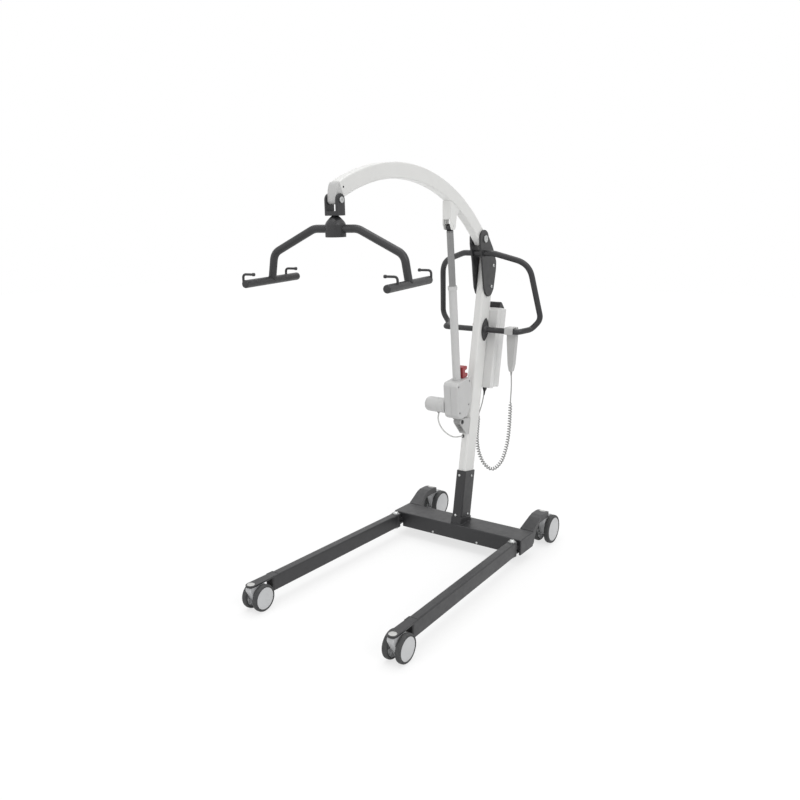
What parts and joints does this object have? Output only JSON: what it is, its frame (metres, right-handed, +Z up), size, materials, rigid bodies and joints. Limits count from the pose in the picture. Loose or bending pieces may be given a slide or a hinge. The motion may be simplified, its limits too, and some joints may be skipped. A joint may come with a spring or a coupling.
{
  "type": "electric patient lift",
  "caption": "Mobile floor lift for moving a person in a sling: curved boom on a leaning mast, electric actuator, spreading legs on twin-wheel casters, hooked hanger and hand pendant.",
  "frame": {"origin": "on the floor, on the lift's mid-plane, under the middle of the base crossbar", "axes": "+Z up, -Y to the front where the legs and the boom point, +X to the lift's right-hand side"},
  "size_m": [0.6932, 1.3461, 1.5793],
  "materials": {
    "white_powder_coat": "satin white powder coat on steel tube",
    "dark_powder_coat": "satin dark grey powder coat on steel",
    "zinc_plated_steel": "bright zinc plate",
    "chromed_rod": "hard chrome",
    "cast_bracket": "light grey powder coat on pressed steel",
    "light_grey_housing": "fine-textured moulded housing",
    "mid_grey_handset": "fine-textured moulded handset shell",
    "black_keys": "soft-touch keys and pedals",
    "red_plastic": "red moulded knob",
    "wheel": "grey rubber tread on a moulded wheel",
    "cord_jacket": "matt cord jacket"
  },
  "bodies": {
    "base": {"base_crossbar": "dark_powder_coat", "mast_socket": "dark_powder_coat", "rear_arm_left": "dark_powder_coat", "rear_arm_right": "dark_powder_coat", "leg_pivot_bolt_left": "zinc_plated_steel", "leg_pivot_bolt_right": "zinc_plated_steel", "mast_tube": "white_powder_coat", "mast_plate_left": "dark_powder_coat", "mast_plate_right": "dark_powder_coat", "push_handle": "dark_powder_coat", "boom_pivot_pin": "zinc_plated_steel", "actuator_mast_bracket": "cast_bracket", "actuator_lower_pin": "zinc_plated_steel", "control_box": "light_grey_housing", "pendant_cord": "cord_jacket", "motor_cable": "cord_jacket"},
    "left_leg": {"leg_left": "dark_powder_coat"},
    "right_leg": {"leg_right": "dark_powder_coat"},
    "spreader_body": {"spreader_actuator_body": "light_grey_housing"},
    "spreader_rod": {"spreader_actuator_rod": "zinc_plated_steel"},
    "boom": {"boom_tube": "white_powder_coat", "boom_nose": "cast_bracket", "boom_actuator_bracket": "cast_bracket"},
    "hanger_clevis": {"swivel_clevis": "dark_powder_coat", "clevis_pin": "zinc_plated_steel"},
    "hanger": {"swivel_hub": "dark_powder_coat", "sling_arm": "dark_powder_coat", "cross_bar_left": "dark_powder_coat", "cross_bar_right": "dark_powder_coat"},
    "lift_actuator": {"actuator_gearbox": "light_grey_housing", "actuator_motor": "light_grey_housing", "actuator_tube": "white_powder_coat"},
    "lift_rod": {"actuator_rod": "chromed_rod"},
    "lowering_grip": {"lowering_knob": "red_plastic"},
    "battery": {"battery_pack": "light_grey_housing"},
    "stop_push": {"stop_button": "red_plastic"},
    "handset": {"pendant_shell": "mid_grey_handset"},
    "key_boom_up_body": {"key_boom_up": "black_keys"},
    "key_boom_down_body": {"key_boom_down": "black_keys"},
    "key_legs_open_body": {"key_legs_open": "black_keys"},
    "key_legs_close_body": {"key_legs_close": "black_keys"},
    "front_left_caster": {"front_left_caster_body": "light_grey_housing", "front_left_axle": "zinc_plated_steel"},
    "front_left_wheel_left_body": {"front_left_wheel_left": "wheel"},
    "front_left_wheel_right_body": {"front_left_wheel_right": "wheel"},
    "front_right_caster": {"front_right_caster_body": "light_grey_housing", "front_right_axle": "zinc_plated_steel"},
    "front_right_wheel_left_body": {"front_right_wheel_left": "wheel"},
    "front_right_wheel_right_body": {"front_right_wheel_right": "wheel"},
    "rear_left_caster": {"rear_left_caster_body": "light_grey_housing", "rear_left_axle": "zinc_plated_steel"},
    "rear_left_wheel_left_body": {"rear_left_wheel_left": "wheel"},
    "rear_left_wheel_right_body": {"rear_left_wheel_right": "wheel"},
    "rear_left_pedal": {"rear_left_brake_pedal": "black_keys"},
    "rear_right_caster": {"rear_right_caster_body": "light_grey_housing", "rear_right_axle": "zinc_plated_steel"},
    "rear_right_wheel_left_body": {"rear_right_wheel_left": "wheel"},
    "rear_right_wheel_right_body": {"rear_right_wheel_right": "wheel"},
    "rear_right_pedal": {"rear_right_brake_pedal": "black_keys"}
  },
  "joints": [
    {"name": "left_leg_pivot", "type": "hinge", "parent": "base", "child": "left_leg", "pos_m": [-0.287, -0.088, 0.079], "axis": [0, 0, -1], "range_deg": [0, 12.5]},
    {"name": "right_leg_pivot", "type": "hinge", "parent": "base", "child": "right_leg", "pos_m": [0.287, -0.088, 0.079], "axis": [0, 0, 1], "range_deg": [0, 12.5]},
    {"name": "spreader_body_slide", "type": "slide", "parent": "base", "child": "spreader_body", "axis": [1, 0, 0], "range_m": [0, 0.0131]},
    {"name": "spreader_rod_slide", "type": "slide", "parent": "base", "child": "spreader_rod", "axis": [-1, 0, 0], "range_m": [0, 0.0131]},
    {"name": "boom_lift", "type": "hinge", "parent": "base", "child": "boom", "pos_m": [0, 0.10924, 1.31183], "axis": [-1, 0, 0], "range_deg": [-50, 8]},
    {"name": "hanger_swing", "type": "hinge", "parent": "boom", "child": "hanger_clevis", "pos_m": [0, -0.83875, 1.44322], "axis": [-1, 0, 0], "range_deg": [-12, 55]},
    {"name": "hanger_spin", "type": "hinge", "parent": "hanger_clevis", "child": "hanger", "pos_m": [0, -0.83875, 1.44322], "axis": [0, -0.0349, 0.9994], "continuous": true},
    {"name": "actuator_tilt", "type": "hinge", "parent": "base", "child": "lift_actuator", "pos_m": [0, -0.03971, 0.56313], "axis": [1, 0, 0], "range_deg": [-1, 0.16]},
    {"name": "actuator_stroke", "type": "slide", "parent": "lift_actuator", "child": "lift_rod", "axis": [0, -0.1162, 0.9932], "range_m": [-0.205, 0.0328]},
    {"name": "lowering_grip_pull", "type": "slide", "parent": "lift_actuator", "child": "lowering_grip", "axis": [0, -0.1162, 0.9932], "range_m": [0, 0.008], "stiffness_N_per_m": 1500},
    {"name": "battery_lift_out", "type": "slide", "parent": "base", "child": "battery", "axis": [0, 0.1642, 0.9864], "range_m": [0, 0.06]},
    {"name": "stop_button_push", "type": "slide", "parent": "base", "child": "stop_push", "axis": [1, 0, 0], "range_m": [0, 0.0024]},
    {"name": "handset_lift_off", "type": "slide", "parent": "base", "child": "handset", "axis": [0, 0, 1], "range_m": [0, 0.06]},
    {"name": "key_boom_up_press", "type": "slide", "parent": "handset", "child": "key_boom_up_body", "axis": [0, -1, 0], "range_m": [0, 0.001], "stiffness_N_per_m": 1000},
    {"name": "key_boom_down_press", "type": "slide", "parent": "handset", "child": "key_boom_down_body", "axis": [0, -1, 0], "range_m": [0, 0.001], "stiffness_N_per_m": 1000},
    {"name": "key_legs_open_press", "type": "slide", "parent": "handset", "child": "key_legs_open_body", "axis": [0, -1, 0], "range_m": [0, 0.001], "stiffness_N_per_m": 1000},
    {"name": "key_legs_close_press", "type": "slide", "parent": "handset", "child": "key_legs_close_body", "axis": [0, -1, 0], "range_m": [0, 0.001], "stiffness_N_per_m": 1000},
    {"name": "front_left_swivel", "type": "hinge", "parent": "left_leg", "child": "front_left_caster", "pos_m": [-0.31006, -0.9687, 0.05], "axis": [0, 0, 1], "continuous": true},
    {"name": "front_left_wheel_left_spin", "type": "hinge", "parent": "front_left_caster", "child": "front_left_wheel_left_body", "pos_m": [-0.31006, -0.9337, 0.05], "axis": [1, 0, 0], "continuous": true},
    {"name": "front_left_wheel_right_spin", "type": "hinge", "parent": "front_left_caster", "child": "front_left_wheel_right_body", "pos_m": [-0.31006, -0.9337, 0.05], "axis": [1, 0, 0], "continuous": true},
    {"name": "front_right_swivel", "type": "hinge", "parent": "right_leg", "child": "front_right_caster", "pos_m": [0.31006, -0.9687, 0.05], "axis": [0, 0, 1], "continuous": true},
    {"name": "front_right_wheel_left_spin", "type": "hinge", "parent": "front_right_caster", "child": "front_right_wheel_left_body", "pos_m": [0.31006, -0.9337, 0.05], "axis": [1, 0, 0], "continuous": true},
    {"name": "front_right_wheel_right_spin", "type": "hinge", "parent": "front_right_caster", "child": "front_right_wheel_right_body", "pos_m": [0.31006, -0.9337, 0.05], "axis": [1, 0, 0], "continuous": true},
    {"name": "rear_left_swivel", "type": "hinge", "parent": "base", "child": "rear_left_caster", "pos_m": [-0.287, 0.208, 0.0625], "axis": [0, 0, 1], "continuous": true},
    {"name": "rear_left_wheel_left_spin", "type": "hinge", "parent": "rear_left_caster", "child": "rear_left_wheel_left_body", "pos_m": [-0.287, 0.246, 0.0625], "axis": [1, 0, 0], "continuous": true},
    {"name": "rear_left_wheel_right_spin", "type": "hinge", "parent": "rear_left_caster", "child": "rear_left_wheel_right_body", "pos_m": [-0.287, 0.246, 0.0625], "axis": [1, 0, 0], "continuous": true},
    {"name": "rear_left_brake_press", "type": "hinge", "parent": "rear_left_caster", "child": "rear_left_pedal", "pos_m": [-0.287, 0.30866, 0.06469], "axis": [-1, 0, 0], "range_deg": [0, 18]},
    {"name": "rear_right_swivel", "type": "hinge", "parent": "base", "child": "rear_right_caster", "pos_m": [0.287, 0.208, 0.0625], "axis": [0, 0, 1], "continuous": true},
    {"name": "rear_right_wheel_left_spin", "type": "hinge", "parent": "rear_right_caster", "child": "rear_right_wheel_left_body", "pos_m": [0.287, 0.246, 0.0625], "axis": [1, 0, 0], "continuous": true},
    {"name": "rear_right_wheel_right_spin", "type": "hinge", "parent": "rear_right_caster", "child": "rear_right_wheel_right_body", "pos_m": [0.287, 0.246, 0.0625], "axis": [1, 0, 0], "continuous": true},
    {"name": "rear_right_brake_press", "type": "hinge", "parent": "rear_right_caster", "child": "rear_right_pedal", "pos_m": [0.287, 0.30866, 0.06469], "axis": [-1, 0, 0], "range_deg": [0, 18]}
  ],
  "couplings": [
    {"joint": "right_leg_pivot", "follows": "left_leg_pivot", "ratio": 1},
    {"joint": "spreader_body_slide", "follows": "left_leg_pivot", "m_per_rad": 0.0599},
    {"joint": "spreader_rod_slide", "follows": "left_leg_pivot", "m_per_rad": 0.0599},
    {"joint": "actuator_tilt", "follows": "boom_lift", "ratio": 0.02},
    {"joint": "actuator_stroke", "follows": "boom_lift", "m_per_rad": 0.2349}
  ]
}
